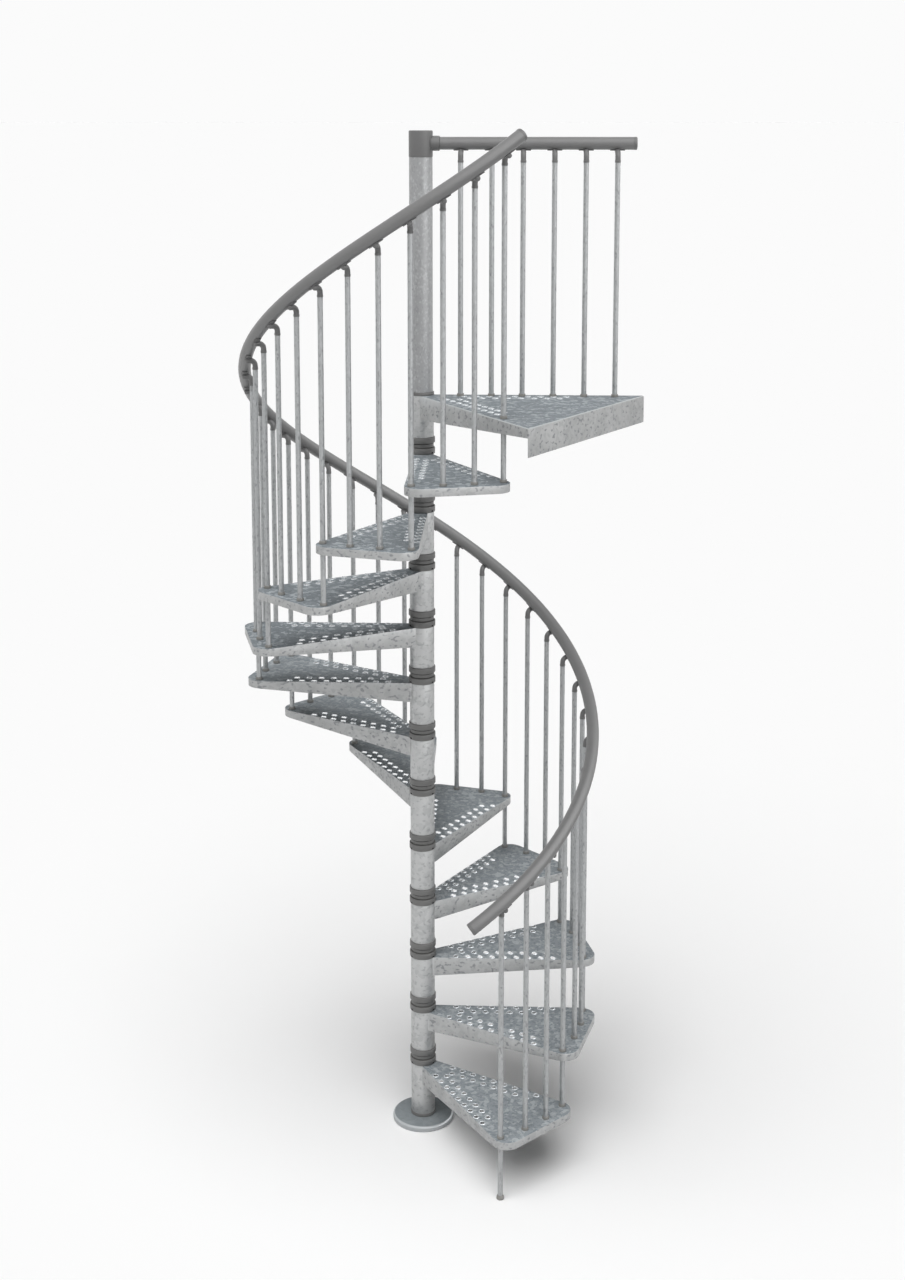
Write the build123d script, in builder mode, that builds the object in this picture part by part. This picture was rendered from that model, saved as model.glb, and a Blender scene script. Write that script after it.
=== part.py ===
# Spiral staircase: folded sheet treads on stacked hubs, round balusters and a helical handrail.
# Millimetres. Origin at the centre of the base plate's underside, +Z up.
# Going up, the treads turn counter-clockwise seen from above.

import os
from math import cos, pi, radians, sin, sqrt, tan

from build123d import *

# Flight
tread_count = 12
rise = 234.0
first_rise = 252.0
step_angle = 30.0
start_angle = -60.0

# Centre column
base_plate_diameter = 250.0
base_plate_thickness = 24.0
base_plate_edge = 5.0
base_plate_sides = 40
column_sides = 24
base_collar_diameter = 102.0
base_collar_height = 14.0
hub_diameter = 98.0
spacer_height = 68.0
spacer_ring_diameter = 107.0
spacer_top_ring_height = 26.0
spacer_neck_diameter = 92.0
spacer_low_ring_height = 24.0
spacer_sides = 12

# Treads
tread_reach = 695.0
tread_edge_overlap = 26.0
tread_corner_radius = 60.0
tread_flange_at_hub = 78.0
tread_flange_at_edge = 30.0
sheet_thickness = 3.5
sheet_bend = 3.0

# Landing
landing_angle = 60.0
landing_reach = 753.0
landing_front_overlap = 27.0
landing_back_overlap = 3.0
landing_flange_at_hub = 92.0
landing_flange_at_edge = 36.0
landing_fascia_height = 105.0

# Newel above the landing
newel_collar_diameter = 100.0
newel_collar_height = 12.0
newel_diameter = 91.0
cap_diameter = 93.0
cap_height = 101.0
cap_below_rail = 52.0
cap_edge = 4.0

# Balusters
baluster_diameter = 20.0
baluster_inset = 35.0
baluster_drop = 72.0
step_baluster_count = 3
baluster_hole_clearance = 0.2
bar_sides = 8
foot_diameter = 30.0
foot_height = 16.0

# Handrail
handrail_diameter = 49.0
handrail_outset = 28.0
handrail_height = 978.0
handrail_lead_angle = 11.0
handrail_tail_angle = 4.0
rail_cap_length = 12.0
rail_sides = 10
elbow_bend = 14.0
elbow_seat_depth = 3.0
elbow_seat_clearance = 0.26

# Landing rail
landing_rail_diameter = 49.0
landing_rail_below_handrail = 2.0
landing_rail_end = 830.0
landing_baluster_count = 6
landing_baluster_first = 155.0
landing_baluster_pitch = 120.0
landing_baluster_setback = 37.0
rail_socket_diameter = 58.0
rail_socket_length = 27.0

# How far a cutting tool runs past what it cuts
overrun = 5.0

baluster_circle_radius = tread_reach - baluster_inset
handrail_radius = baluster_circle_radius + handrail_outset
hub_length = rise - spacer_height
first_hub_length = first_rise - base_plate_thickness - base_collar_height
landing_top = first_rise + tread_count * rise
turn_height = rise * 360 / step_angle
landing_rail_height = handrail_height - landing_rail_below_handrail
landing_rail_z = landing_top + landing_rail_height
newel_foot = landing_top + newel_collar_height
cap_foot = landing_rail_z - cap_below_rail

os.makedirs("parts", exist_ok=True)


def tread_top(index):
    return first_rise + index * rise


def corner_angle(index):
    return start_angle + index * step_angle


def rail_centre_height(angle):
    return first_rise + handrail_height + (angle - start_angle) / step_angle * rise


def wedge_plan(half_angle, reach, low_overlap, high_overlap):
    slope = tan(radians(half_angle))
    low = low_overlap / cos(radians(half_angle))
    high = high_overlap / cos(radians(half_angle))
    return [(0, -low), (reach, -low - reach * slope), (reach, high + reach * slope), (0, high)]


def flange_taper(near, near_depth, far, far_depth):
    return [
        (0, -near_depth),
        (near, -near_depth),
        (far, -far_depth),
        (2 * far, -far_depth),
        (2 * far, -near_depth - overrun),
        (0, -near_depth - overrun),
    ]


# One tread: a folded tray, its flanges tapering outwards, welded to a hub and pierced at the low corner
def make_tread(length):
    half = step_angle / 2
    hub_radius = hub_diameter / 2
    lap = tread_edge_overlap
    inner_lap = lap - sheet_thickness
    with BuildPart() as tray:
        with BuildSketch() as plan:
            with BuildLine():
                Polyline(*wedge_plan(half, tread_reach, lap, lap), close=True)
            make_face()
            fillet(plan.vertices().group_by(Axis.X)[-1], tread_corner_radius)
        extrude(amount=-tread_flange_at_hub)
        with BuildSketch(Plane.XZ.offset(-tread_reach)):
            with BuildLine():
                straight_end = tread_reach - tread_corner_radius
                Polyline(
                    *flange_taper(hub_radius, tread_flange_at_hub, straight_end, tread_flange_at_edge),
                    close=True,
                )
            make_face()
        extrude(amount=2 * tread_reach, mode=Mode.SUBTRACT)
        with BuildSketch(Plane.XY.offset(-sheet_thickness)) as hollow:
            with BuildLine():
                Polyline(*wedge_plan(half, tread_reach - sheet_thickness, inner_lap, inner_lap), close=True)
            make_face()
            fillet(hollow.vertices().group_by(Axis.X)[-1], tread_corner_radius - sheet_thickness)
        extrude(amount=-tread_flange_at_hub, mode=Mode.SUBTRACT)
        with Locations((0, 0, -length)):
            Cylinder(hub_radius, length, align=(Align.CENTER, Align.CENTER, Align.MIN))
        with BuildSketch():
            with PolarLocations(baluster_circle_radius, 1, -half):
                RegularPolygon(baluster_diameter / 2 + baluster_hole_clearance, bar_sides)
        extrude(amount=-tread_flange_at_edge, mode=Mode.SUBTRACT)
    return tray.part


first_form = make_tread(first_hub_length)
tread_form = make_tread(hub_length)

for index in range(tread_count):
    with BuildPart() as tread:
        with Locations(Location((0, 0, tread_top(index)), (0, 0, corner_angle(index) + step_angle / 2))):
            add(first_form if index == 0 else tread_form)
    tread.part.label = f"tread_{index + 1:02d}"
    export_step(tread.part, f"parts/tread_{index + 1:02d}.step")

# Landing: a wider tray of the same make, with a deep fascia across its outer side
landing_half = landing_angle / 2
landing_turn = corner_angle(tread_count) + landing_half
landing_front_inner = landing_front_overlap - sheet_thickness
landing_back_inner = landing_back_overlap - sheet_thickness
with BuildPart() as landing_form:
    with BuildSketch():
        with BuildLine():
            Polyline(
                *wedge_plan(landing_half, landing_reach, landing_front_overlap, landing_back_overlap),
                close=True,
            )
        make_face()
    extrude(amount=-landing_fascia_height)
    landing_bend = landing_form.faces().sort_by(Axis.Z)[-1].edges().sort_by(Axis.X)[1:]
    chamfer(landing_bend, sheet_bend)
    fascia_back = landing_reach - sheet_thickness
    with BuildSketch(Plane.XZ.offset(-landing_reach)):
        with BuildLine():
            Polyline(
                (0, -landing_flange_at_hub),
                (hub_diameter / 2, -landing_flange_at_hub),
                (fascia_back, -landing_flange_at_edge),
                (fascia_back, -landing_fascia_height - overrun),
                (0, -landing_fascia_height - overrun),
                close=True,
            )
        make_face()
    extrude(amount=2 * landing_reach, mode=Mode.SUBTRACT)
    with BuildSketch(Plane.XY.offset(-sheet_thickness)):
        with BuildLine():
            Polyline(
                *wedge_plan(landing_half, fascia_back, landing_front_inner, landing_back_inner),
                close=True,
            )
        make_face()
    extrude(amount=-landing_fascia_height, mode=Mode.SUBTRACT)
    with Locations((0, 0, -hub_length)):
        Cylinder(hub_diameter / 2, hub_length, align=(Align.CENTER, Align.CENTER, Align.MIN))
    with BuildSketch():
        with PolarLocations(baluster_circle_radius, 1, -landing_half):
            RegularPolygon(baluster_diameter / 2 + baluster_hole_clearance, bar_sides)
    extrude(amount=-landing_flange_at_edge, mode=Mode.SUBTRACT)

with BuildPart() as landing:
    with Locations(Location((0, 0, landing_top), (0, 0, landing_turn))):
        add(landing_form.part)
landing.part.label = "landing"
export_step(landing.part, "parts/landing.step")

# Base plate
with BuildPart() as base_plate:
    with BuildSketch():
        RegularPolygon(base_plate_diameter / 2, base_plate_sides)
    extrude(amount=base_plate_thickness)
    chamfer(base_plate.faces().sort_by(Axis.Z)[-1].edges(), base_plate_edge)
base_plate.part.label = "base_plate"
export_step(base_plate.part, "parts/base_plate.step")

# Spacers between the hubs: two rings and a waist that opens downwards
spacer_neck_top = spacer_height - spacer_top_ring_height
with BuildPart() as spacer_form:
    with BuildSketch():
        RegularPolygon(spacer_ring_diameter / 2, spacer_sides)
    extrude(amount=spacer_low_ring_height)
    with BuildSketch(Plane.XY.offset(spacer_low_ring_height)):
        RegularPolygon(spacer_ring_diameter / 2, spacer_sides)
    with BuildSketch(Plane.XY.offset(spacer_neck_top)):
        RegularPolygon(spacer_neck_diameter / 2, spacer_sides)
    loft(ruled=True)
    with BuildSketch(Plane.XY.offset(spacer_neck_top)):
        RegularPolygon(spacer_ring_diameter / 2, spacer_sides)
    extrude(amount=spacer_top_ring_height)

with BuildPart() as spacers:
    with Locations(*[(0, 0, tread_top(index)) for index in range(tread_count)]):
        add(spacer_form.part)
spacers.part.label = "riser_spacers"
export_step(spacers.part, "parts/riser_spacers.step")

# Collars under the lowest hub and under the newel
with BuildPart() as column_collars:
    with BuildSketch(Plane.XY.offset(base_plate_thickness)):
        RegularPolygon(base_collar_diameter / 2, column_sides)
    extrude(amount=base_collar_height)
    with BuildSketch(Plane.XY.offset(landing_top)):
        RegularPolygon(newel_collar_diameter / 2, column_sides)
    extrude(amount=newel_collar_height)
column_collars.part.label = "column_collars"
export_step(column_collars.part, "parts/column_collars.step")

# Newel above the landing
with BuildPart() as newel_tube:
    with BuildSketch(Plane.XY.offset(newel_foot)):
        Circle(newel_diameter / 2)
    extrude(amount=cap_foot - newel_foot)
newel_tube.part.label = "newel_tube"
export_step(newel_tube.part, "parts/newel_tube.step")

with BuildPart() as newel_cap:
    with BuildSketch(Plane.XY.offset(cap_foot)):
        RegularPolygon(cap_diameter / 2, column_sides)
    extrude(amount=cap_height)
    chamfer(newel_cap.faces().sort_by(Axis.Z)[-1].edges(), cap_edge)
newel_cap.part.label = "newel_cap"
export_step(newel_cap.part, "parts/newel_cap.step")

# Balusters: at each step line a long one runs through the tread to the tread below
with BuildPart() as long_balusters:
    for index in range(tread_count + 1):
        angle = corner_angle(index)
        foot = foot_height if index == 0 else tread_top(index - 1)
        with BuildSketch(Plane.XY.offset(foot)):
            with PolarLocations(baluster_circle_radius, 1, angle):
                RegularPolygon(baluster_diameter / 2, bar_sides)
        extrude(amount=rail_centre_height(angle) - baluster_drop - foot)
long_balusters.part.label = "long_balusters"
export_step(long_balusters.part, "parts/long_balusters.step")

with BuildPart() as short_balusters:
    for index in range(tread_count):
        for place in range(1, step_baluster_count):
            angle = corner_angle(index) + place * step_angle / step_baluster_count
            foot = tread_top(index)
            with BuildSketch(Plane.XY.offset(foot)):
                with PolarLocations(baluster_circle_radius, 1, angle):
                    RegularPolygon(baluster_diameter / 2, bar_sides)
            extrude(amount=rail_centre_height(angle) - baluster_drop - foot)
short_balusters.part.label = "short_balusters"
export_step(short_balusters.part, "parts/short_balusters.step")

with BuildPart() as baluster_foot:
    with BuildSketch():
        with PolarLocations(baluster_circle_radius, 1, start_angle):
            RegularPolygon(foot_diameter / 2, bar_sides)
    extrude(amount=foot_height)
baluster_foot.part.label = "baluster_foot"
export_step(baluster_foot.part, "parts/baluster_foot.step")

# Handrail: its section is lofted through stations on a helix, one run straight across each baluster
run_angle = step_angle / step_baluster_count
rail_start = start_angle - handrail_lead_angle
rail_end = start_angle + tread_count * step_angle + handrail_tail_angle
climb = turn_height / 360


def rail_plane(angle):
    past = (angle - start_angle + run_angle / 2) % run_angle - run_angle / 2
    reach = handrail_radius / cos(radians(past))
    out = Vector(cos(radians(angle)), sin(radians(angle)), 0)
    along = Vector(-out.Y * radians(reach), out.X * radians(reach), climb)
    return Plane(out * reach + Vector(0, 0, rail_centre_height(angle)), x_dir=out, z_dir=along)


stations = [rail_start]
for count in range(tread_count * step_baluster_count + 1):
    stations.append(start_angle + (count - 1 / 2) * run_angle)
stations.append(rail_end)

with BuildPart() as handrail:
    for angle in stations:
        with BuildSketch(rail_plane(angle)):
            RegularPolygon(handrail_diameter / 2, rail_sides)
    loft(ruled=True)
handrail.part.label = "handrail"
export_step(handrail.part, "parts/handrail.step")

with BuildPart() as rail_caps:
    with BuildSketch(rail_plane(rail_start)):
        RegularPolygon(handrail_diameter / 2, rail_sides)
    extrude(amount=-rail_cap_length)
    with BuildSketch(rail_plane(rail_end)):
        RegularPolygon(handrail_diameter / 2, rail_sides)
    extrude(amount=rail_cap_length)
    with BuildSketch(Plane.YZ.offset(landing_rail_end - rail_cap_length)):
        with Locations((0, landing_rail_z)):
            RegularPolygon(landing_rail_diameter / 2, rail_sides)
    extrude(amount=rail_cap_length)
rail_caps.part.label = "rail_caps"
export_step(rail_caps.part, "parts/rail_caps.step")


# Elbow from a baluster's top out under a rail and seated in it; the rail's axis is at the origin
def make_elbow(setback, rail_diameter, slope):
    bar_radius = baluster_diameter / 2
    rail_underside = rail_diameter / 2 * cos(pi / rail_sides) * sqrt(1 + slope * slope)
    arm_drop = rail_underside + bar_radius - elbow_seat_depth
    with BuildPart() as elbow:
        with BuildLine(Plane.XZ) as route:
            Polyline(
                (-setback, -baluster_drop),
                (-setback, -arm_drop - elbow_bend),
                (-setback + elbow_bend, -arm_drop),
                (bar_radius, -arm_drop),
            )
        with BuildSketch(Plane.XY.offset(-baluster_drop)):
            with Locations((-setback, 0)):
                RegularPolygon(bar_radius, bar_sides)
        sweep(path=route.line, transition=Transition.RIGHT)
        with BuildSketch(Plane((0, 0, 0), x_dir=(1, 0, 0), z_dir=(0, 1, slope))):
            RegularPolygon(rail_diameter / 2 + elbow_seat_clearance, rail_sides)
        extrude(amount=baluster_drop, both=True, mode=Mode.SUBTRACT)
    return elbow.part


rail_slope = climb * run_angle / (2 * handrail_radius * tan(radians(run_angle / 2)))
stair_elbow = make_elbow(handrail_outset, handrail_diameter, rail_slope)
elbow_places = []
for count in range(tread_count * step_baluster_count + 1):
    angle = start_angle + count * run_angle
    centre = (
        handrail_radius * cos(radians(angle)),
        handrail_radius * sin(radians(angle)),
        rail_centre_height(angle),
    )
    elbow_places.append(Location(centre, (0, 0, angle)))
with BuildPart() as handrail_elbows:
    with Locations(*elbow_places):
        add(stair_elbow)
handrail_elbows.part.label = "handrail_elbows"
export_step(handrail_elbows.part, "parts/handrail_elbows.step")

# Landing rail on the newel cap, with its own balusters and elbows
socket_end = cap_diameter / 2 + rail_socket_length
with BuildPart() as rail_socket:
    with BuildSketch(Plane.YZ) as socket_round:
        with Locations((0, landing_rail_z)):
            RegularPolygon(rail_socket_diameter / 2, rail_sides)
    extrude(amount=socket_end)
    with BuildSketch(Plane.XY.offset(cap_foot)):
        RegularPolygon(cap_diameter / 2, column_sides)
    extrude(amount=cap_height, mode=Mode.SUBTRACT)
rail_socket.part.label = "rail_socket"
export_step(rail_socket.part, "parts/rail_socket.step")

with BuildPart() as landing_rail:
    with BuildSketch(Plane.YZ.offset(socket_end)):
        with Locations((0, landing_rail_z)):
            RegularPolygon(landing_rail_diameter / 2, rail_sides)
    extrude(amount=landing_rail_end - rail_cap_length - socket_end)
landing_rail.part.label = "landing_rail"
export_step(landing_rail.part, "parts/landing_rail.step")

landing_places = []
for count in range(landing_baluster_count):
    landing_places.append(landing_baluster_first + count * landing_baluster_pitch)

with BuildPart() as landing_balusters:
    with BuildSketch(Plane.XY.offset(landing_top)):
        with Locations(*[(place, -landing_baluster_setback) for place in landing_places]):
            RegularPolygon(baluster_diameter / 2, bar_sides)
    extrude(amount=landing_rail_height - baluster_drop)
landing_balusters.part.label = "landing_balusters"
export_step(landing_balusters.part, "parts/landing_balusters.step")

landing_elbow = make_elbow(landing_baluster_setback, landing_rail_diameter, 0)
with BuildPart() as landing_elbows:
    with Locations(*[Location((place, 0, landing_rail_z), (0, 0, 90)) for place in landing_places]):
        add(landing_elbow)
landing_elbows.part.label = "landing_elbows"
export_step(landing_elbows.part, "parts/landing_elbows.step")
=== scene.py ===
from math import atan2, cos, pi, radians, sin

import bpy
from mathutils import Matrix, Vector


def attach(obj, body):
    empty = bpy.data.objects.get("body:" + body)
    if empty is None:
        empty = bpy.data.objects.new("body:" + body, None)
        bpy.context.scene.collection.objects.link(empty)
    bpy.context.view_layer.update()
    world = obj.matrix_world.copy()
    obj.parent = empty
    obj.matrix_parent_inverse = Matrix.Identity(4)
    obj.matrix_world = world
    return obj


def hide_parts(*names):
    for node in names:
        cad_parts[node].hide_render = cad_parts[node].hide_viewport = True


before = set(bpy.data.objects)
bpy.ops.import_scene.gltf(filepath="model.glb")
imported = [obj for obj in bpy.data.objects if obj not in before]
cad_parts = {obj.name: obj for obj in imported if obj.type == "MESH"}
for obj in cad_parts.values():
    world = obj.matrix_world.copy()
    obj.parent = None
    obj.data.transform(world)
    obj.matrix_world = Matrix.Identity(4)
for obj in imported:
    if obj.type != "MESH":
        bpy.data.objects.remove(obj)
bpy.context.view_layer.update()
scene = bpy.context.scene
print("frame loaded")

stair = {  # the flight's own sizes, metres and degrees
    "treads": 12,
    "rise": 0.234,
    "firstRise": 0.252,
    "stepAngle": 30.0,
    "startAngle": -60.0,
    "landingAngle": 60.0,
    "shadedTopsFrom": 8,  # counted from 0: from this tread up the tops are a little darker: painted shade
    "barsPerStep": 3,
    "barCircle": 0.660,
    "barRadius": 0.010,
    "barDrop": 0.072,
    "railRadius": 0.688,
    "railHeight": 0.978,
    "railTube": 0.0245,
    "landingRailHeight": 0.976,
    "landingBars": [0.155, 0.275, 0.395, 0.515, 0.635, 0.755],
    "landingBarSetback": 0.037,
}
halfStep = stair["stepAngle"] / 2
halfLanding = stair["landingAngle"] / 2
landingTop = stair["firstRise"] + stair["treads"] * stair["rise"]
landingRailCentre = landingTop + stair["landingRailHeight"]
climb = stair["rise"] / stair["stepAngle"]  # metres of height per degree
railSlope = atan2(climb * 180 / pi, stair["railRadius"])
barStep = stair["stepAngle"] / stair["barsPerStep"]


def treadTop(index):
    return stair["firstRise"] + index * stair["rise"]


def stepAngle(index):
    return stair["startAngle"] + index * stair["stepAngle"]


def railCentre(angle):
    return stair["firstRise"] + stair["railHeight"] + (angle - stair["startAngle"]) * climb


def onCircle(radius, angle, height):
    return Vector((radius * cos(radians(angle)), radius * sin(radians(angle)), height))


def turned(angle):
    return Matrix.Rotation(radians(angle), 4, "Z")


# Plain modelling helpers
def deselectAll():
    if bpy.context.mode != "OBJECT":
        bpy.ops.object.mode_set(mode="OBJECT")
    bpy.ops.object.select_all(action="DESELECT")


def pick(piece):
    deselectAll()
    piece.select_set(True)
    bpy.context.view_layer.objects.active = piece


def settle(piece):
    pick(piece)
    bpy.ops.object.transform_apply(location=True, rotation=True, scale=True)


def smooth(piece, angle=35):
    pick(piece)
    bpy.ops.object.shade_smooth_by_angle(angle=radians(angle))


def applyModifier(piece, kind, **values):
    pick(piece)
    modifier = piece.modifiers.new(kind.title(), kind)
    for key, value in values.items():
        setattr(modifier, key, value)
    bpy.ops.object.modifier_apply(modifier=modifier.name)


def pull(x, y, z):  # in edit mode: extrude what is selected
    bpy.ops.mesh.extrude_region_move(TRANSFORM_OT_translate={"value": (x, y, z)})


def raiseRings(rings, radius, height):  # in edit mode: carry a ring through each radius and height
    for newRadius, newHeight in rings:
        pull(0, 0, newHeight - height)
        share = newRadius / radius
        bpy.ops.transform.resize(value=(share, share, 1), center_override=(0, 0, newHeight))
        radius, height = newRadius, newHeight
    bpy.ops.mesh.select_all(action="SELECT")
    bpy.ops.mesh.normals_make_consistent(inside=False)
    bpy.ops.object.mode_set(mode="OBJECT")


def turnPiece(name, profile, sides=48):  # profile: radius and height, from the bottom up
    deselectAll()
    radius, height = profile[0]
    bpy.ops.mesh.primitive_circle_add(vertices=sides, radius=radius, fill_type="NGON",
                                      location=(0, 0, height))
    piece = bpy.context.object
    piece.name = name
    settle(piece)
    bpy.ops.object.mode_set(mode="EDIT")
    bpy.ops.mesh.select_all(action="SELECT")
    raiseRings(profile[1:], radius, height)
    return piece


def lifted(profile, foot):
    return [(radius, foot + height) for radius, height in profile]


def joinAll(pieces, name):
    deselectAll()
    for piece in pieces:
        piece.select_set(True)
    bpy.context.view_layer.objects.active = pieces[0]
    if len(pieces) > 1:
        bpy.ops.object.join()
    whole = bpy.context.object
    whole.name = name
    whole.data.name = name
    return whole


def spread(form, places, name):  # one modelled form, copied to every place
    copies = []
    for place in places:
        copy = form.copy()
        copy.data = form.data.copy()
        copy.data.transform(place)
        scene.collection.objects.link(copy)
        copies.append(copy)
    bpy.data.objects.remove(form)
    return joinAll(copies, name)


def dress(piece, material):
    piece.data.materials.clear()
    piece.data.materials.append(material)


def onNode(piece, slot, *nodes):
    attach(piece, "root")
    if nodes:
        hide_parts(*nodes)


def finishPiece(piece, material, slot, *nodes, angle=35):
    dress(piece, material)
    smooth(piece, angle)
    onNode(piece, slot, *nodes)


# Finishes
class Wire:  # a socket that can be used in sums
    def __init__(self, nodes, socket):
        self.nodes = nodes
        self.socket = socket

    def sum(self, operation, left, right):
        return self.nodes.node("ShaderNodeMath", {"operation": operation}, {0: left, 1: right})

    def __add__(self, other):
        return self.sum("ADD", self, other)

    def __radd__(self, other):
        return self.sum("ADD", other, self)

    def __sub__(self, other):
        return self.sum("SUBTRACT", self, other)

    def __rsub__(self, other):
        return self.sum("SUBTRACT", other, self)

    def __mul__(self, other):
        return self.sum("MULTIPLY", self, other)

    def __rmul__(self, other):
        return self.sum("MULTIPLY", other, self)


class Nodes:  # a node tree, and the one way that a node is made in it
    def __init__(self, tree):
        self.tree = tree

    def node(self, kind, settings=None, values=None, out=0):
        made = self.tree.nodes.new(kind)
        for key, value in (settings or {}).items():
            if key == "stops":
                ramp = made.color_ramp
                while len(ramp.elements) < len(value):
                    ramp.elements.new(1)
                for element, (place, shade) in zip(ramp.elements, value):
                    element.position = place
                    element.color = (shade, shade, shade, 1)
            else:
                setattr(made, key, value)
        for key, value in (values or {}).items():
            if isinstance(value, Wire):
                self.tree.links.new(value.socket, made.inputs[key])
            else:
                made.inputs[key].default_value = value
        return Wire(self, made.outputs[out]) if made.outputs else None


class Finish(Nodes):
    def __init__(self, name, **constants):
        self.material = bpy.data.materials.new(name)
        self.material.use_nodes = True
        super().__init__(self.material.node_tree)
        self.shader = self.tree.nodes["Principled BSDF"]
        for key, value in constants.items():
            self.shader.inputs[key.replace("_", " ")].default_value = value

    def place(self):
        return self.node("ShaderNodeTexCoord", out="Object")

    def stretched(self, where, scale):
        return self.node("ShaderNodeMapping", {}, {"Vector": where, "Scale": scale})

    def noise(self, where, scale, detail=2.0, out=0):
        values = {"Vector": where, "Scale": scale, "Detail": detail}
        return self.node("ShaderNodeTexNoise", {}, values, out)

    def cells(self, where, scale):  # one random value for each crystal of zinc
        values = {"Vector": where, "Scale": scale}
        colour = self.node("ShaderNodeTexVoronoi", {}, values, out="Color")
        return self.node("ShaderNodeSeparateColor", {}, {0: colour})

    def ramp(self, value, stops):
        return self.node("ShaderNodeValToRGB", {"stops": stops}, {0: value})

    def mix(self, factor, first, second):
        values = {0: factor, 6: first, 7: second}
        return self.node("ShaderNodeMix", {"data_type": "RGBA"}, values, out=2)

    def bump(self, height, strength, distance):
        values = {"Height": height, "Strength": strength, "Distance": distance}
        return self.node("ShaderNodeBump", {}, values)

    def feed(self, **wires):
        for key, wire in wires.items():
            self.tree.links.new(wire.socket, self.shader.inputs[key.replace("_", " ")])


def grey(red, green, blue):  # screen values 0 to 255 to linear
    shades = []
    for value in (red, green, blue):
        value = value / 255
        shades.append(value / 12.92 if value <= 0.04045 else ((value + 0.055) / 1.055) ** 2.4)
    return (*shades, 1)


# tops darker and bluer than upright faces: painted shade and reflection by facing; crystals, flecks
# and spots are the zinc's own
sheetLook = {
    "top": grey(145, 151, 155),
    "topFleck": grey(173, 178, 181),
    "topDark": grey(124, 131, 136),
    "hub": grey(190, 191, 191),
    "side": grey(182, 183, 183),
    "sideDull": grey(170, 171, 171),
    "sideDark": grey(136, 138, 140),
    # painted highlight on the bevelled bend between top and side
    "bend": grey(190, 193, 194),
    "crystals": 60.0,
}
# the sheet for the upper treads and the landing: darker tops, painted shade
shadedUpperLook = dict(
    sheetLook,
    top=grey(128, 134, 138),
    topFleck=grey(166, 172, 176),
    topDark=grey(108, 115, 120),
)
# the plate takes the sheet's finish: its darker top against the paler side is painted shade and
# reflection by facing
plateLook = {
    "top": grey(134, 140, 143),
    "topFleck": grey(140, 146, 149),
    "topDark": grey(128, 134, 137),
    "hub": grey(172, 175, 177),
    "side": grey(172, 175, 177),
    "sideDull": grey(168, 171, 173),
    "sideDark": grey(164, 167, 169),
    # painted highlight on the plate's rounded edge
    "bend": grey(186, 190, 192),
    "crystals": 30.0,
}
zinc = {  # scales per metre, shares of a mix, and the stops of the ramps
    "wanderScale": 38.0,
    "wanderReach": (0.02, 0.02, 0.02),
    "smallCrystals": 2.1,
    "cloudScale": 9.0,
    "cloudDetail": 3.0,
    "cloudStops": [(0.35, 0), (0.65, 1)],
    # facing masks: they place the painted darker tops, the painted bend highlight and the upright
    # faces
    "topFacing": [(0.9, 0), (0.985, 1)],
    "uprightFacing": [(0.1, 1), (0.35, 0)],
    "paleCrystal": 0.75,
    "paleSmall": 0.25,
    "paleCloud": 0.3,
    "paleStops": [(0.72, 0), (0.98, 1)],
    "deepStops": [(0.10, 1), (0.4, 0)],
    "deepShare": 0.8,
    "hubRadius": [(0.050, 0), (0.056, 1)],
    "spotScale": 62.0,
    "spotDetail": 0.6,
    "spotStretch": (1, 1, 1.4),
    "spotStops": [(0.31, 1), (0.40, 0)],
    "spotOnHub": 0.45,
    "spotShare": 0.9,
    "shadeStops": [(0.15, 1), (0.5, 0)],
    "shadeShare": 0.25,
    "metal": 0.6,
    "specular": 0.1,
    "rough": 0.36,
    "roughCrystal": 0.14,
    "roughTop": 0.2,
    "bumpCrystal": 0.6,
    "bump": 0.12,
    "bumpDepth": 0.001,
}


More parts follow.
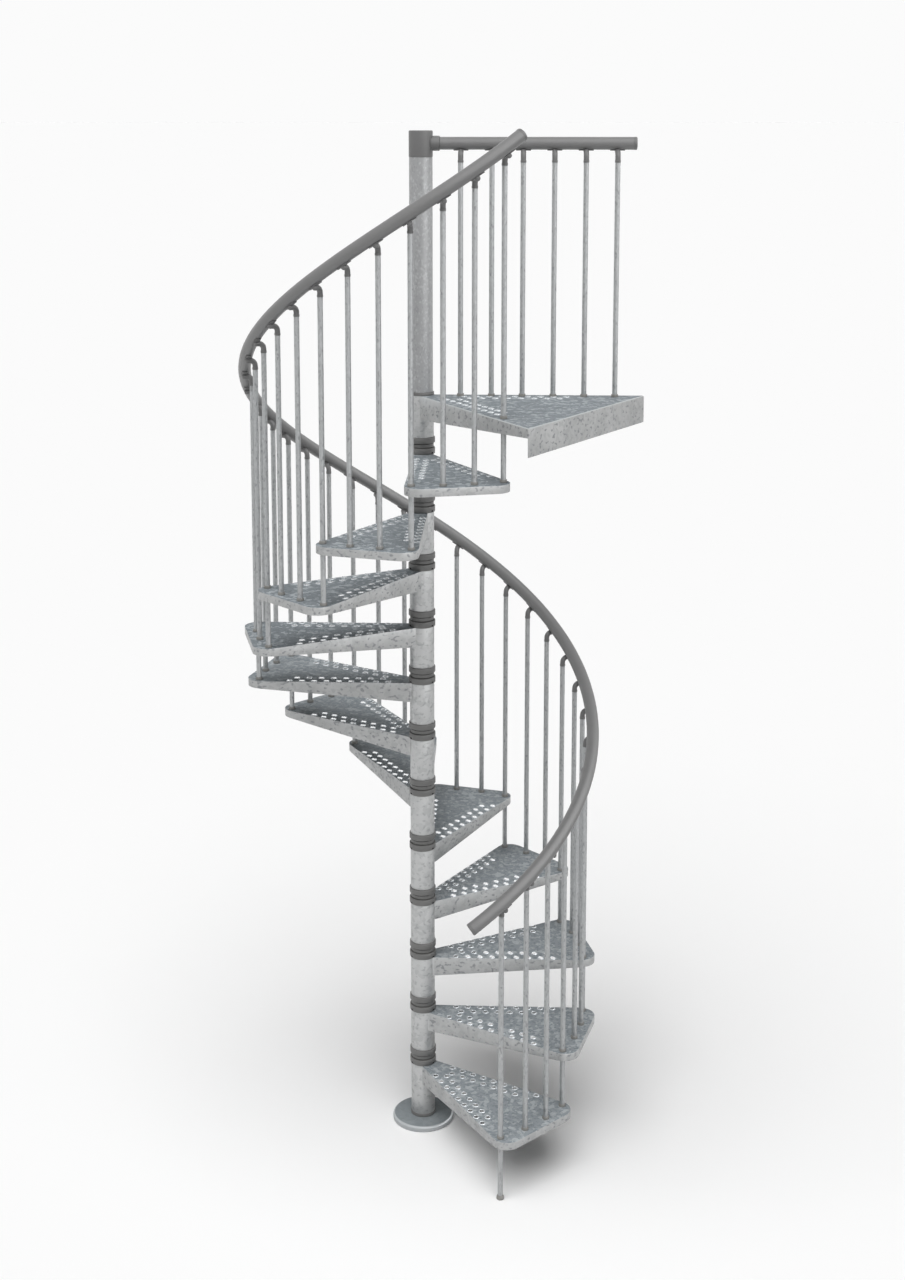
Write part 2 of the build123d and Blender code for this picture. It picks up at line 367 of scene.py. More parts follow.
def sheetFinish(name, look):  # dipped sheet with crystals: dull blue tops and paler upright faces, the difference painted shade and reflection by facing
    finish = Finish(name, Specular_IOR_Level=zinc["specular"])
    where = finish.place()
    wander = finish.noise(where, zinc["wanderScale"], out="Color")
    pushed = finish.node("ShaderNodeVectorMath", {"operation": "MULTIPLY_ADD"},
                         {0: wander, 1: zinc["wanderReach"], 2: where})
    crystal = finish.cells(pushed, look["crystals"])
    small = finish.cells(pushed, look["crystals"] * zinc["smallCrystals"])
    cloud = finish.noise(where, zinc["cloudScale"], zinc["cloudDetail"])
    facing = finish.node("ShaderNodeNewGeometry", out="Normal")
    upward = finish.node("ShaderNodeSeparateXYZ", {}, {0: facing}, out="Z")
    top = finish.ramp(upward, zinc["topFacing"])
    upright = finish.ramp(upward, zinc["uprightFacing"])

    fleck = crystal * zinc["paleCrystal"] + small * zinc["paleSmall"] + cloud * zinc["paleCloud"]
    pale = finish.ramp(fleck, zinc["paleStops"])
    deep = finish.ramp(small, zinc["deepStops"])
    topColour = finish.mix(deep * zinc["deepShare"], look["top"], look["topDark"])
    topColour = finish.mix(pale, topColour, look["topFleck"])

    radius = finish.node("ShaderNodeVectorMath", {"operation": "LENGTH"},
                         {0: finish.stretched(where, (1, 1, 0))}, out="Value")
    arm = finish.ramp(radius, zinc["hubRadius"])  # 0 on the hub
    blotch = finish.noise(finish.stretched(where, zinc["spotStretch"]), zinc["spotScale"],
                          zinc["spotDetail"])
    spots = finish.ramp(blotch, zinc["spotStops"])
    spots = spots * (zinc["spotOnHub"] + arm * (1 - zinc["spotOnHub"]))
    clouded = finish.mix(finish.ramp(cloud, zinc["cloudStops"]), look["sideDull"], look["side"])
    clouded = finish.mix(arm, look["hub"], clouded)
    shaded = finish.ramp(crystal, zinc["shadeStops"]) * zinc["shadeShare"]
    clouded = finish.mix(shaded, clouded, look["sideDark"])
    sideColour = finish.mix(spots * zinc["spotShare"], clouded, look["sideDark"])
    # the bevelled bend takes the pale bend colour: a painted highlight
    bendHighlight = finish.mix(upright, look["bend"], sideColour)
    # base colour by facing: the darker tops against the paler upright faces are painted shade and
    # reflection
    finish.feed(
        Base_Color=finish.mix(top, bendHighlight, topColour),
        Metallic=zinc["metal"] - top * zinc["metal"],
        Roughness=zinc["rough"] + small * zinc["roughCrystal"] + top * zinc["roughTop"],
        Normal=finish.bump(crystal * zinc["bumpCrystal"] + cloud, zinc["bump"], zinc["bumpDepth"]),
    )
    return finish.material


tubeLook = {
    "base": grey(167, 169, 170),
    "dark": grey(132, 134, 135),
    "pale": grey(182, 184, 185),
    "streak": (1, 1, 0.5),
    "rough": 0.32,
}
newelLook = {
    "base": grey(160, 161, 162),
    "dark": grey(148, 149, 150),
    "pale": grey(184, 185, 186),
    "streak": (1, 1, 0.6),
    "rough": 0.32,
}
# lips: glossy, and coloured much paler than the sheet as a painted highlight on the raised rims
rimHighlightLook = {
    "base": grey(214, 219, 222),
    "dark": grey(196, 201, 205),
    "pale": grey(228, 231, 233),
    "streak": (1, 1, 1),
    "rough": 0.16,
}
tubeZinc = {
    "crystals": 190.0,
    "cloudScale": 60.0,
    "cloudDetail": 3.0,
    "crystalPart": 0.7,
    "cloudPart": 0.5,
    "darkStops": [(0.24, 1), (0.38, 0)],
    "darkShare": 0.7,
    "paleStops": [(0.75, 0), (0.9, 1)],
    "paleShare": 0.6,
    "metal": 0.6,
    "specular": 0.4,
    "roughCloud": 0.16,
    "bump": 0.08,
    "bumpDepth": 0.0008,
}


def tubeFinish(name, look):  # dipped tube, faint upright mottling
    finish = Finish(name, Metallic=tubeZinc["metal"], Specular_IOR_Level=tubeZinc["specular"])
    drawn = finish.stretched(finish.place(), look["streak"])
    crystal = finish.cells(drawn, tubeZinc["crystals"])
    cloud = finish.noise(drawn, tubeZinc["cloudScale"], tubeZinc["cloudDetail"])
    mottle = crystal * tubeZinc["crystalPart"] + cloud * tubeZinc["cloudPart"]
    dark = finish.ramp(mottle, tubeZinc["darkStops"])
    pale = finish.ramp(mottle, tubeZinc["paleStops"])
    colour = finish.mix(dark * tubeZinc["darkShare"], look["base"], look["dark"])
    finish.feed(
        Base_Color=finish.mix(pale * tubeZinc["paleShare"], colour, look["pale"]),
        Roughness=look["rough"] + cloud * tubeZinc["roughCloud"],
        Normal=finish.bump(cloud, tubeZinc["bump"], tubeZinc["bumpDepth"]),
    )
    return finish.material


moulding = {
    "cloudScale": 18.0,
    "cloudDetail": 3.0,
    "grainScale": 900.0,
    "roughGrain": 0.1,
    "bump": 0.05,
    "bumpDepth": 0.0003,
}


def mouldedFinish(name, base, dark, rough, gloss=0.6):  # satin moulded fittings and rail cover
    finish = Finish(name, Specular_IOR_Level=gloss)
    where = finish.place()
    cloud = finish.noise(where, moulding["cloudScale"], moulding["cloudDetail"])
    grain = finish.noise(where, moulding["grainScale"])
    finish.feed(
        Base_Color=finish.mix(cloud, dark, base),
        Roughness=rough + grain * moulding["roughGrain"],
        Normal=finish.bump(grain, moulding["bump"], moulding["bumpDepth"]),
    )
    return finish.material


galvanisedSheet = sheetFinish("galvanised_sheet", sheetLook)
galvanisedUpperShaded = sheetFinish("galvanised_upper", shadedUpperLook)
galvanisedTube = tubeFinish("galvanised_tube", tubeLook)
galvanisedNewel = tubeFinish("galvanised_newel", newelLook)
plateSatin = sheetFinish("plate_satin", plateLook)
# lips: their pale colour is a painted highlight
rimHighlight = tubeFinish("rim_pale", rimHighlightLook)
spacerGrey = mouldedFinish("spacer_grey", grey(108, 108, 107), grey(99, 99, 98), rough=0.4)
# darker grey for the spacers' grooves: painted shade
spacerGrooveShade = mouldedFinish("spacer_dark", grey(92, 92, 90), grey(84, 84, 82), rough=0.6)
# near black for the spacers' slots: painted shade inside them
slotShade = mouldedFinish("slot_black", grey(26, 26, 26), grey(20, 20, 20), rough=0.7)
railGrey = mouldedFinish("rail_grey", grey(112, 112, 112), grey(106, 106, 106), rough=0.34, gloss=0.8)
fittingGrey = mouldedFinish("fitting_grey", grey(107, 107, 107), grey(99, 99, 99), rough=0.36)
collarDark = mouldedFinish("collar_dark", grey(138, 137, 134), grey(124, 123, 119), rough=0.5)
print("finishes made")

# Treads: the folded tray with its raised punched holes
treadHoles = {
    "radius": 0.0094,
    "rimRadius": 0.0130,
    "rimHeight": 0.0024,
    "lip": 0.0006,
    "sides": 12,
    "pitch": 0.0499,
    "rows": ((0.0145, 0.136, 9), (0.0535, 0.160, 8)),  # inset from the side, first hole, holes
    "overlaps": (0.026, 0.026),  # how far the plate reaches past each side's line
    "cutDepth": 0.012,
    "solidPlate": 0.0035,  # the plate's thickness in the solid
    "sheet": 0.0010,  # and as it shows through the holes
    "bend": 0.0020,
    "bendSegments": 3,
    "bendFrom": 50.0,
    "mergeWithin": 0.00002,
    "flatWithin": 0.6,
    "levelWithin": 0.0002,
    "smooth": 32,
}
landingHoles = dict(
    treadHoles,
    rows=((0.052, 0.168, 9), (0.096, 0.192, 8)),
    overlaps=(0.027, 0.003),
    bend=0.0007,
)


def holePlaces(look, halfAngle):
    places = []
    for side, overlap in zip((-1, 1), look["overlaps"]):
        edge = Vector((cos(radians(halfAngle)), side * sin(radians(halfAngle)), 0))
        inward = Vector((edge.y, -edge.x, 0)) * side
        for inset, first, count in look["rows"]:
            for number in range(count):
                along = first + number * look["pitch"]
                places.append(Matrix.Translation(edge * along + inward * (inset - overlap)))
    return places


def makeRim(look):  # a rounded lip punched upwards round one hole
    top, lip = look["rimHeight"], look["lip"]
    deselectAll()
    bpy.ops.mesh.primitive_circle_add(vertices=look["sides"], radius=look["rimRadius"],
                                      fill_type="NOTHING")
    rim = bpy.context.object
    bpy.ops.object.mode_set(mode="EDIT")
    bpy.ops.mesh.select_all(action="SELECT")
    crest = look["radius"] + 2 * lip
    rings = [(crest + 2 * lip, top - lip), (crest, top), (look["radius"], top - 2 * lip),
             (look["radius"], top - 3 * lip), (look["rimRadius"], -look["sheet"])]
    raiseRings(rings, look["rimRadius"], 0)
    return rim


def bareCopy(node, turn, lift, look):  # a copy of the solid's mesh in its own frame, merged
    source = bpy.data.objects[node]
    copy = source.copy()
    copy.data = source.data.copy()
    copy.parent = None
    copy.matrix_world = Matrix.Identity(4)
    copy.animation_data_clear()
    scene.collection.objects.link(copy)
    copy.data.transform(turned(-turn) @ Matrix.Translation((0, 0, -lift)))
    pick(copy)
    bpy.ops.object.mode_set(mode="EDIT")
    bpy.ops.mesh.select_all(action="SELECT")
    bpy.ops.mesh.remove_doubles(threshold=look["mergeWithin"])
    bpy.ops.mesh.dissolve_limited(angle_limit=radians(look["flatWithin"]))
    bpy.ops.mesh.select_all(action="DESELECT")
    bpy.ops.object.mode_set(mode="OBJECT")
    for vertex in copy.data.vertices:  # the plate's underside, raised to the sheet's thickness
        vertex.select = abs(vertex.co.z + look["solidPlate"]) < look["levelWithin"]
    bpy.ops.object.mode_set(mode="EDIT")
    bpy.ops.transform.translate(value=(0, 0, look["solidPlate"] - look["sheet"]))
    bpy.ops.object.mode_set(mode="OBJECT")
    return copy


def punch(tray, places, look, material):
    applyModifier(tray, "BEVEL", width=look["bend"], segments=look["bendSegments"],
                  limit_method="ANGLE", angle_limit=radians(look["bendFrom"]))
    deselectAll()
    bpy.ops.mesh.primitive_cylinder_add(vertices=look["sides"], radius=look["rimRadius"],
                                        depth=look["cutDepth"])
    cutter = spread(bpy.context.object, places, "cutter")
    applyModifier(tray, "BOOLEAN", object=cutter, operation="DIFFERENCE", solver="EXACT")
    bpy.data.objects.remove(cutter)
    rims = spread(makeRim(look), places, "rims")
    dress(tray, material)
    # the lips get the pale finish: a painted highlight
    dress(rims, rimHighlight)
    return joinAll([tray, rims], tray.name)


def standTread(form, index, node):
    copy = form.copy()
    copy.data = form.data.copy()
    copy.data.transform(Matrix.Translation((0, 0, treadTop(index)))
                        @ turned(stepAngle(index) + halfStep))
    scene.collection.objects.link(copy)
    copy.name = node + "_dressed"
    copy.data.name = copy.name
    # the upper treads take the copy with darker tops: painted shade
    if index >= stair["shadedTopsFrom"]:
        copy.data.materials[0] = galvanisedUpperShaded
    smooth(copy, treadHoles["smooth"])
    onNode(copy, "galvanised_sheet", node)


def makeTread(index, node):
    bare = bareCopy(node, stepAngle(index) + halfStep, treadTop(index), treadHoles)
    return punch(bare, holePlaces(treadHoles, halfStep), treadHoles, galvanisedSheet)


lowestForm = makeTread(0, "tread_01")  # its hub is longer than the others'
standTread(lowestForm, 0, "tread_01")
bpy.data.objects.remove(lowestForm)
treadForm = makeTread(1, "tread_02")
for index in range(1, stair["treads"]):
    standTread(treadForm, index, "tread_%02d" % (index + 1))
bpy.data.objects.remove(treadForm)
print("treads punched")

# Landing, punched along both sides
landingTurn = stepAngle(stair["treads"]) + halfLanding
bareLanding = bareCopy("landing", landingTurn, landingTop, landingHoles)
# the landing takes the copy with darker tops: painted shade
landingTray = punch(bareLanding, holePlaces(landingHoles, halfLanding), landingHoles, galvanisedUpperShaded)
landingTray.data.transform(Matrix.Translation((0, 0, landingTop)) @ turned(landingTurn))
landingTray.name = "landing_dressed"
landingTray.data.name = landingTray.name
smooth(landingTray, landingHoles["smooth"])
onNode(landingTray, "galvanised_sheet", "landing")
print("landing punched")

# Base plate and the two collars on the column
basePlate = {
    "profile": [(0.1225, 0.0), (0.1245, 0.0012), (0.125, 0.004), (0.125, 0.0150),
                (0.1243, 0.0188), (0.1222, 0.0217), (0.1190, 0.0236), (0.1155, 0.0240)],
    "sides": 96,
}
plate = turnPiece("base_plate_dressed", basePlate["profile"], basePlate["sides"])
finishPiece(plate, plateSatin, "galvanised_plate", "base_plate")

columnCollars = {
    "low": [(0.0500, 0.024), (0.0510, 0.0252), (0.0510, 0.0364), (0.0500, 0.038)],
    "high": [(0.0490, 0.0), (0.0500, 0.0012), (0.0500, 0.0105), (0.0490, 0.012)],  # on the landing
}
collarPair = joinAll([
    turnPiece("low_collar", columnCollars["low"]),
    turnPiece("high_collar", lifted(columnCollars["high"], landingTop)),
], "column_collars_dressed")
finishPiece(collarPair, spacerGrey, "grey_spacer", "column_collars")

# Spacers: two rings with a waist and four slots in the lower ring
spacer = {
    "profile": [  # radius and height above the tread
        (0.0515, 0.0), (0.0530, 0.0012), (0.0535, 0.0030), (0.0535, 0.0226), (0.0528, 0.0243),
        (0.0515, 0.0250), (0.0452, 0.0252), (0.0452, 0.0280), (0.0474, 0.0282), (0.0480, 0.0290),
        (0.0480, 0.0404), (0.0474, 0.0412), (0.0452, 0.0414), (0.0452, 0.0442), (0.0515, 0.0444),
        (0.0528, 0.0451), (0.0535, 0.0468), (0.0535, 0.0645), (0.0528, 0.0668), (0.0510, 0.0680),
    ],
    "grooves": ((0.0250, 0.0285), (0.0409, 0.0445)),
    "slotSize": (0.016, 0.0095, 0.0058),
    "slotAt": (0.0535, 0, 0.0062),
    "slotAngles": (-34.7, -145.3, 34.7, 145.3),
    "slotEdge": 0.0012,
}
spacerForm = turnPiece("spacer", spacer["profile"])
dress(spacerForm, spacerGrey)
# groove faces get the darker grey: painted shade in the grooves
spacerForm.data.materials.append(spacerGrooveShade)
for face in spacerForm.data.polygons:
    inGroove = any(low <= face.center.z <= high for low, high in spacer["grooves"])
    face.material_index = int(inGroove)
deselectAll()
bpy.ops.mesh.primitive_cube_add(size=1, location=spacer["slotAt"])
slot = bpy.context.object
bpy.ops.transform.resize(value=spacer["slotSize"])
settle(slot)
bpy.ops.object.mode_set(mode="EDIT")
bpy.ops.mesh.select_all(action="SELECT")
bpy.ops.mesh.bevel(offset=spacer["slotEdge"], segments=1)
bpy.ops.object.mode_set(mode="OBJECT")
slots = spread(slot, [turned(angle) for angle in spacer["slotAngles"]], "slots")
# the slots are near black, and the cut carries it onto the slot faces: painted shade inside the slots
dress(slots, slotShade)
applyModifier(spacerForm, "BOOLEAN", object=slots, operation="DIFFERENCE", solver="EXACT",
              material_mode="TRANSFER")
bpy.data.objects.remove(slots)
spacerSpots = [Matrix.Translation((0, 0, treadTop(index))) for index in range(stair["treads"])]
spacers = spread(spacerForm, spacerSpots, "riser_spacers_dressed")
smooth(spacers)
onNode(spacers, "grey_spacer", "riser_spacers")

# Newel and its cap
newelPost = {
    "radius": 0.0455,
    "length": 0.912,
    "ease": 0.001,
    "cap": [(0.0452, 0.0), (0.0464, 0.0010), (0.0465, 0.0030), (0.0465, 0.0960), (0.0460, 0.0985),
            (0.0447, 0.1004), (0.0425, 0.1010)],  # above the newel
    "sides": 64,
}


def easedBar(radius, low, high, ease):  # a straight bar's profile, its ends a little rounded
    return [(radius - ease, low), (radius, low + ease), (radius, high - ease), (radius - ease, high)]


newelFoot = landingTop + columnCollars["high"][-1][1]
capFoot = newelFoot + newelPost["length"]
newelShape = easedBar(newelPost["radius"], newelFoot, capFoot, newelPost["ease"])
newel = turnPiece("newel_tube_dressed", newelShape, newelPost["sides"])
finishPiece(newel, galvanisedNewel, "galvanised_tube", "newel_tube")
cap = turnPiece("newel_cap_dressed", lifted(newelPost["cap"], capFoot), newelPost["sides"])
finishPiece(cap, fittingGrey, "grey_fitting", "newel_cap")
print("column made")

# Balusters: round bars with eased ends
bar = {"ease": 0.0008, "sides": 20}
barFittings = {  # radius and height, the fixing's from the sheet down
    "collar": [(0.0130, 0.0), (0.0137, 0.0008), (0.0135, 0.0090), (0.0126, 0.0108), (0.0103, 0.0114)],
    "collarSides": 18,
    "fixing": [(0.0100, 0.0), (0.0100, 0.0016), (0.0078, 0.0018), (0.0076, 0.0068), (0.0066, 0.0082)],
    "fixingSides": 12,
    "fixingSmooth": 25,
    "foot": [(0.0140, 0.0), (0.0148, 0.001), (0.0142, 0.010), (0.0118, 0.0150), (0.0105, 0.016)],
    "footSides": 24,
}


def makeBar(length):
    return turnPiece("bar", easedBar(stair["barRadius"], 0, length, bar["ease"]), bar["sides"])


def barTop(angle):
    return railCentre(angle) - stair["barDrop"]


longBars = []
for index in range(stair["treads"] + 1):
    angle = stepAngle(index)
    low = treadTop(index - 1) if index else barFittings["foot"][-1][1]
    spot = Matrix.Translation(onCircle(stair["barCircle"], angle, low))
    longBars.append(spread(makeBar(barTop(angle) - low), [spot], "bar"))
longSet = joinAll(longBars, "long_balusters_dressed")
finishPiece(longSet, galvanisedTube, "galvanised_tube", "long_balusters")

shortBars = []
for place in range(1, stair["barsPerStep"]):
    turn = place * barStep
    spots = []
    for index in range(stair["treads"]):
        spot = onCircle(stair["barCircle"], stepAngle(index) + turn, treadTop(index))
        spots.append(Matrix.Translation(spot))
    shortBars.append(spread(makeBar(barTop(stepAngle(0) + turn) - treadTop(0)), spots, "bars"))
shortSet = joinAll(shortBars, "short_balusters_dressed")
finishPiece(shortSet, galvanisedTube, "galvanised_tube", "short_balusters")

landingSpots = []
for x in stair["landingBars"]:
    landingSpots.append(Vector((x, -stair["landingBarSetback"], landingTop)))
landingBars = spread(makeBar(stair["landingRailHeight"] - stair["barDrop"]),
                     [Matrix.Translation(spot) for spot in landingSpots],
                     "landing_balusters_dressed")
finishPiece(landingBars, galvanisedTube, "galvanised_tube", "landing_balusters")


# Collars at the feet, fixings below the sheet, and the first baluster's foot
def belowSheet(spot):
    under = spot - Vector((0, 0, treadHoles["sheet"]))
    return Matrix.Translation(under) @ Matrix.Rotation(pi, 4, "X")


collarSpots, fixingSpots = [], []
for index in range(stair["treads"]):
    for place in range(stair["barsPerStep"] + 1):
        angle = stepAngle(index) + place * barStep
        spot = onCircle(stair["barCircle"], angle, treadTop(index))
        collarSpots.append(Matrix.Translation(spot))
        if place:
            fixingSpots.append(belowSheet(spot))
lastBar = onCircle(stair["barCircle"], stepAngle(stair["treads"]), landingTop)
collarSpots.append(Matrix.Translation(lastBar))
for spot in landingSpots:
    collarSpots.append(Matrix.Translation(spot))
    fixingSpots.append(belowSheet(spot))
collarForm = turnPiece("collar", barFittings["collar"], barFittings["collarSides"])
footCollars = spread(collarForm, collarSpots, "baluster_collars")
finishPiece(footCollars, collarDark, "grey_spacer")
fixingForm = turnPiece("fixing", barFittings["fixing"], barFittings["fixingSides"])
fixings = spread(fixingForm, fixingSpots, "baluster_fixings")
finishPiece(fixings, collarDark, "grey_spacer", angle=barFittings["fixingSmooth"])
foot = turnPiece("baluster_foot_dressed", barFittings["foot"], barFittings["footSides"])
foot.data.transform(Matrix.Translation(onCircle(stair["barCircle"], stepAngle(0), 0)))
finishPiece(foot, collarDark, "grey_spacer", "baluster_foot")
print("balusters made")

# Handrail: a round section carried up the helix, cut square at both ends
rail = {
    "lead": 11.0,  # degrees past the first and the last baluster
    "tail": 4.0,
    "spare": 3.0,  # cut off again at each end
    "sides": 28,
    "steps": 150,
    "endReach": 0.12,
    "smooth": 40,
    "cap": [(-0.0006, 0.0), (0.0004, 0.0008), (0.0004, 0.0085), (-0.0008, 0.0108),
            (-0.0030, 0.0120)],  # past the tube's radius, and length
    "capSides": 32,
}
railFrom = stair["startAngle"] - rail["lead"]
railTo = stepAngle(stair["treads"]) + rail["tail"]
deselectAll()
bpy.ops.mesh.primitive_circle_add(vertices=rail["sides"], radius=stair["railTube"],
                                  fill_type="NOTHING", location=(stair["railRadius"], 0, 0),
                                  rotation=(pi / 2, 0, 0))
handrail = bpy.context.object
settle(handrail)
bpy.ops.object.mode_set(mode="EDIT")
bpy.ops.mesh.select_all(action="SELECT")
bpy.ops.transform.resize(value=(1, 1, 1 / cos(railSlope)),
                         center_override=(stair["railRadius"], 0, 0))
bpy.ops.object.mode_set(mode="OBJECT")
swing = railTo - railFrom + 2 * rail["spare"]
applyModifier(handrail, "SCREW", axis="Z", angle=radians(swing), screw_offset=swing * climb,
              steps=rail["steps"], render_steps=rail["steps"], use_merge_vertices=False)
lowEnd = railFrom - rail["spare"]
handrail.data.transform(Matrix.Translation((0, 0, railCentre(lowEnd))) @ turned(lowEnd))


def railEnd(angle, outward):
    centre = onCircle(stair["railRadius"], angle, railCentre(angle))
    along = Vector((-sin(radians(angle)) * cos(railSlope), cos(radians(angle)) * cos(railSlope),
                    sin(railSlope)))
    return centre, along * outward


def makeRailCap(place):
    profile = [(stair["railTube"] + past, length) for past, length in rail["cap"]]
    railCap = turnPiece("rail_cap", profile, rail["capSides"])
    railCap.data.transform(place)
    return railCap


capForms = []
for angle, outward in ((railFrom, -1), (railTo, 1)):
    centre, along = railEnd(angle, outward)
    pick(handrail)
    points = handrail.data.vertices
    for vertex in points:
        vertex.select = (vertex.co - centre).length < rail["endReach"]
    for edge in handrail.data.edges:
        edge.select = all(points[number].select for number in edge.vertices)
    for face in handrail.data.polygons:
        face.select = all(points[number].select for number in face.vertices)
    bpy.ops.object.mode_set(mode="EDIT")
    bpy.ops.mesh.bisect(plane_co=centre, plane_no=along, use_fill=True, clear_outer=True)
    bpy.ops.object.mode_set(mode="OBJECT")
    facing = along.to_track_quat("Z", "Y").to_matrix().to_4x4()
    capForms.append(makeRailCap(Matrix.Translation(centre) @ facing))
handrail.name = "handrail_dressed"
handrail.data.name = handrail.name
pick(handrail)
bpy.ops.object.mode_set(mode="EDIT")
bpy.ops.mesh.select_all(action="SELECT")
bpy.ops.mesh.normals_make_consistent(inside=False)
bpy.ops.object.mode_set(mode="OBJECT")
finishPiece(handrail, railGrey, "grey_rail", "handrail", angle=rail["smooth"])

# Landing rail with its socket on the cap
landingRail = {
    "end": 0.830,
    "easeRadius": 0.0007,
    "easeLength": 0.0006,
    "socket": [(0.0275, 0.038), (0.0290, 0.0395), (0.0290, 0.0690), (0.0283, 0.0720),
               (0.0255, 0.0735)],  # radius, and distance from the column's axis
    "sides": 40,
}
alongRail = Matrix.Translation((0, 0, landingRailCentre)) @ Matrix.Rotation(pi / 2, 4, "Y")
tubeFrom = landingRail["socket"][-1][1]
tubeTo = landingRail["end"] - rail["cap"][-1][1]
tubeThin = stair["railTube"] - landingRail["easeRadius"]
tube = turnPiece("landing_rail_dressed", [
    (tubeThin, tubeFrom),
    (stair["railTube"], tubeFrom + landingRail["easeLength"]),
    (stair["railTube"], tubeTo - landingRail["easeLength"]),
    (tubeThin, tubeTo),
], landingRail["sides"])
tube.data.transform(alongRail)
finishPiece(tube, railGrey, "grey_rail", "landing_rail")
socket = turnPiece("rail_socket_dressed", landingRail["socket"], landingRail["sides"])
socket.data.transform(alongRail)
finishPiece(socket, fittingGrey, "grey_fitting", "rail_socket")
capForms.append(makeRailCap(Matrix.Translation((tubeTo, 0, 0)) @ alongRail))
caps = joinAll(capForms, "rail_caps_dressed")
finishPiece(caps, fittingGrey, "grey_rail", "rail_caps")
print("rails made")

# Elbows: from each baluster's top out under the rail, with a saddle along it
elbow = {
    "radius": 0.0104,
    "sleeve": 0.0009,
    "sleeveHeight": 0.0080,
    "sides": 16,
    "bend": 0.0200,
    "bendSteps": 6,
    "seat": 0.0030,
    "knuckle": ((0.0040, 1.0), (0.0075, 0.86), (0.0096, 0.58), (0.0104, 0.25)),  # reach, share
    "mergeWithin": 0.00001,
    "saddleLength": 0.057,
    "saddleArc": 32.0,
    "saddleTaper": 0.25,
    "saddleThickness": 0.0030,
    "saddleGap": 0.0004,
    "saddleEdge": 0.0008,
    "saddleEdgeFrom": 50.0,
    "saddleSides": 48,
    "saddleCuts": 3,
    "smooth": 40,
}


def makeArm(setback, slope):  # sleeve, bend and rounded end below the rail
    drop, radius, bend = stair["barDrop"], elbow["radius"], elbow["bend"]
    armDrop = stair["railTube"] / cos(slope) + radius - elbow["seat"]
    wide = radius + elbow["sleeve"]
    deselectAll()
    bpy.ops.mesh.primitive_circle_add(vertices=elbow["sides"], radius=wide, fill_type="NGON",
                                      location=(-setback, 0, -drop))
    arm = bpy.context.object
    settle(arm)
    bpy.ops.object.mode_set(mode="EDIT")
    bpy.ops.mesh.select_all(action="SELECT")
    pull(0, 0, elbow["sleeveHeight"])
    pull(0, 0, elbow["sleeve"])
    share = radius / wide
    height = elbow["sleeveHeight"] + elbow["sleeve"]
    bpy.ops.transform.resize(value=(share, share, 1), center_override=(-setback, 0, height - drop))
    pull(0, 0, drop - armDrop - bend - height)
    bpy.ops.mesh.spin(steps=elbow["bendSteps"], angle=pi / 2,
                      center=(bend - setback, 0, -armDrop - bend), axis=(0, -1, 0))
    pull(setback - bend, 0, 0)
    reach, size = 0, 1
    for newReach, newSize in elbow["knuckle"]:
        pull(newReach - reach, 0, 0)
        share = newSize / size
        bpy.ops.transform.resize(value=(1, share, share), center_override=(newReach, 0, -armDrop))
        reach, size = newReach, newSize
    bpy.ops.mesh.select_all(action="SELECT")
    bpy.ops.mesh.remove_doubles(threshold=elbow["mergeWithin"])
    bpy.ops.mesh.normals_make_consistent(inside=False)
    bpy.ops.object.mode_set(mode="OBJECT")
    return arm


def makeSaddle(slope):  # a strip of a slightly larger tube on the rail's underside
    along = Vector((0, cos(slope), sin(slope)))
    towards = Vector((0, sin(slope), -cos(slope)))
    across = along.cross(towards)
    halfLength = elbow["saddleLength"] / 2
    deselectAll()
    bpy.ops.mesh.primitive_cylinder_add(vertices=elbow["saddleSides"],
                                        radius=stair["railTube"] + elbow["saddleGap"],
                                        depth=elbow["saddleLength"], end_fill_type="NOTHING")
    saddle = bpy.context.object
    bpy.ops.object.mode_set(mode="EDIT")
    bpy.ops.mesh.select_all(action="SELECT")
    bpy.ops.mesh.subdivide(number_cuts=elbow["saddleCuts"])
    bpy.ops.mesh.select_all(action="DESELECT")
    bpy.ops.object.mode_set(mode="OBJECT")
    for vertex in saddle.data.vertices:
        reach = abs(vertex.co.z) / halfLength
        limit = elbow["saddleArc"] * (1 - elbow["saddleTaper"] * reach * reach)
        vertex.select = abs(atan2(vertex.co.y, vertex.co.x)) > radians(limit)
    bpy.ops.object.mode_set(mode="EDIT")
    bpy.ops.mesh.delete(type="VERT")
    bpy.ops.object.mode_set(mode="OBJECT")
    applyModifier(saddle, "SOLIDIFY", thickness=elbow["saddleThickness"], offset=1.0)
    applyModifier(saddle, "BEVEL", width=elbow["saddleEdge"], segments=1, limit_method="ANGLE",
                  angle_limit=radians(elbow["saddleEdgeFrom"]))
    axes = Matrix((towards, across, along)).transposed().to_4x4()
    downhill = along * -stair["railTube"] * sin(slope) / cos(slope)  # to meet the arm below
    saddle.data.transform(Matrix.Translation(downhill) @ axes)
    return saddle


def makeElbow(setback, slope):
    return joinAll([makeArm(setback, slope), makeSaddle(slope)], "elbow")


stairSpots = []
for count in range(stair["treads"] * stair["barsPerStep"] + 1):
    angle = stair["startAngle"] + count * barStep
    spot = onCircle(stair["railRadius"], angle, railCentre(angle))
    stairSpots.append(Matrix.Translation(spot) @ turned(angle))
stairElbow = makeElbow(stair["railRadius"] - stair["barCircle"], railSlope)
stairElbows = spread(stairElbow, stairSpots, "handrail_elbows_dressed")
finishPiece(stairElbows, fittingGrey, "grey_fitting", "handrail_elbows", angle=elbow["smooth"])
landingElbowSpots = []
for x in stair["landingBars"]:
    landingElbowSpots.append(Matrix.Translation((x, 0, landingRailCentre)) @ turned(90))
landingElbow = makeElbow(stair["landingBarSetback"], 0.0)
landingElbows = spread(landingElbow, landingElbowSpots, "landing_elbows_dressed")
finishPiece(landingElbows, fittingGrey, "grey_fitting", "landing_elbows", angle=elbow["smooth"])
print("elbows made")

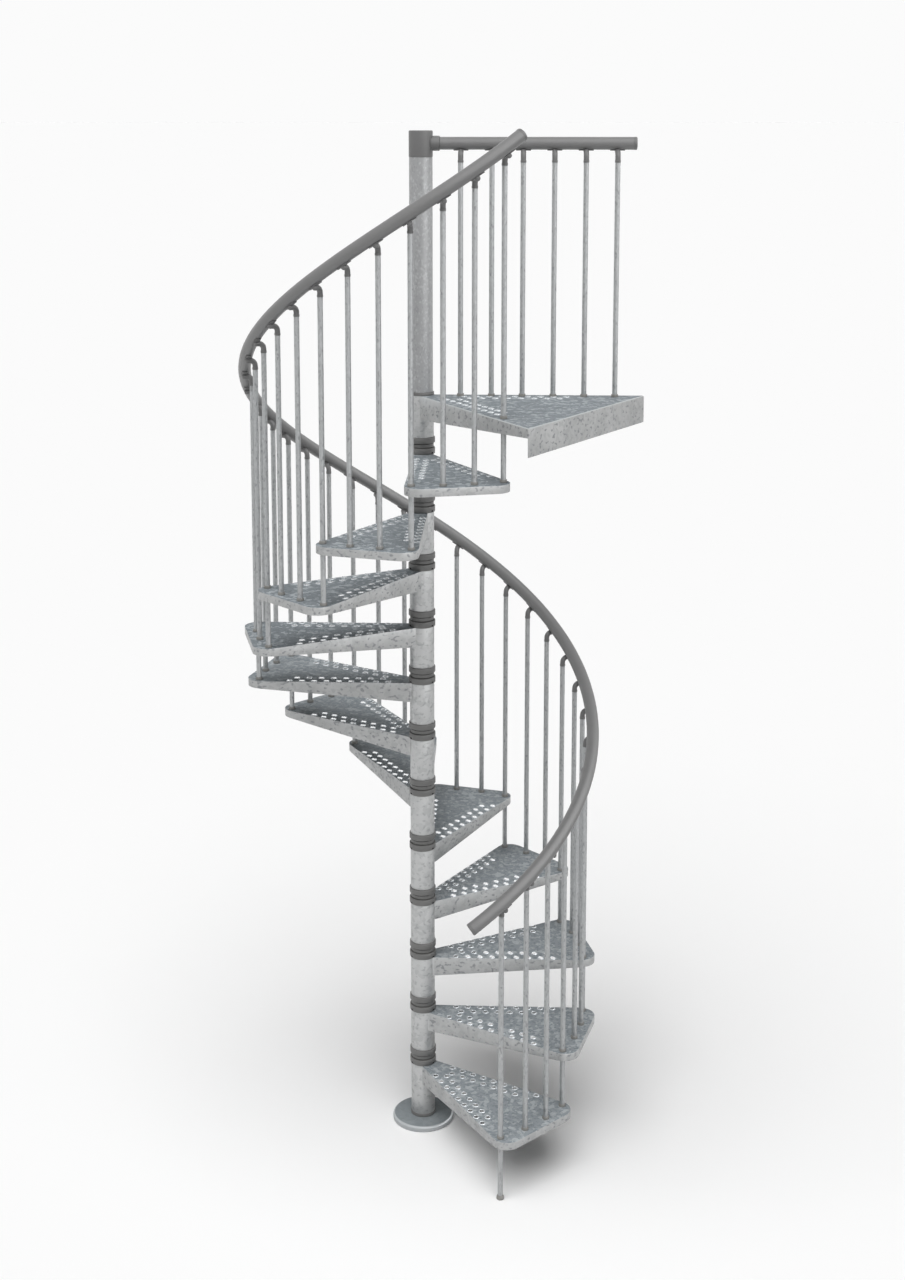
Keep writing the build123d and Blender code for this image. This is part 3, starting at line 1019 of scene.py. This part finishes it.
# Floor, light and camera
studio = {
    "floorSize": 4000.0,
    "floorDrop": 0.0005,
    "floorShade": 0.955,
    "floorRough": 0.9,
    "world": 0.05,
    "backdrop": 0.9645,
    "cameraAt": (0.4033, -7.0, 4.1299),
    "yaw": 2.299,
    "pitch": 8.960,
    "lens": 50.784,
    "sensor": 36.0,
    "shift": -0.185,
}
lamps = [  # off names the kind of ray that a lamp stays out of
    {  # the main soft light from above
        "strength": 3.30,
        "at": (-3, -4, 8),
        "turn": (24.0, 0.0, -17.0),
        "spread": 62.0,
        "off": "visible_glossy",
    },
    {  # low, for the sheen on zinc that faces right
        "strength": 1.8,
        "at": (6, -2, 3),
        "turn": (75.0, 0.0, 80.0),
        "spread": 90.0,
        "off": "visible_diffuse",
    },
    {  # wide, for the sheen on rails and lips
        "strength": 1.3,
        "at": (5, -2, 7),
        "turn": (50.0, 0.0, 40.0),
        "spread": 80.0,
        "off": "visible_diffuse",
    },
]
deselectAll()
bpy.ops.mesh.primitive_plane_add(size=studio["floorSize"], location=(0, 0, -studio["floorDrop"]))
floor = bpy.context.object
floor.name = "floor"
shade = studio["floorShade"]
floorFinish = Finish("floor_pale", Base_Color=(shade, shade, shade, 1),
                     Roughness=studio["floorRough"], Specular_IOR_Level=0.0)
dress(floor, floorFinish.material)

world = bpy.data.worlds.new("studio_world")
scene.world = world
world.use_nodes = True
sky = Nodes(world.node_tree)
sky.tree.nodes.clear()


def skyLight(strength):
    return sky.node("ShaderNodeBackground", {}, {"Color": (1, 1, 1, 1), "Strength": strength})


seen = sky.node("ShaderNodeLightPath", out="Is Camera Ray")
for ray in ("Is Glossy Ray", "Is Transmission Ray"):
    other = sky.node("ShaderNodeLightPath", out=ray)
    seen = sky.node("ShaderNodeMath", {"operation": "MAXIMUM"}, {0: seen, 1: other})
lit = skyLight(studio["world"])
white = skyLight(studio["backdrop"])
blend = sky.node("ShaderNodeMixShader", {}, {0: seen, 1: lit, 2: white})
sky.node("ShaderNodeOutputWorld", {}, {"Surface": blend})

for lamp in lamps:
    deselectAll()
    bpy.ops.object.light_add(type="SUN", location=lamp["at"],
                             rotation=[radians(angle) for angle in lamp["turn"]])
    sun = bpy.context.object
    sun.data.energy = lamp["strength"]
    sun.data.angle = radians(lamp["spread"])
    setattr(sun, lamp["off"], False)

deselectAll()
bpy.ops.object.camera_add(location=studio["cameraAt"],
                          rotation=(radians(90 - studio["pitch"]), 0, radians(studio["yaw"])))
camera = bpy.context.object
camera.data.lens = studio["lens"]
camera.data.sensor_width = studio["sensor"]
camera.data.shift_y = studio["shift"]
camera.data.clip_end = studio["floorSize"]
scene.camera = camera
scene.view_settings.view_transform = "Standard"
print("studio set")
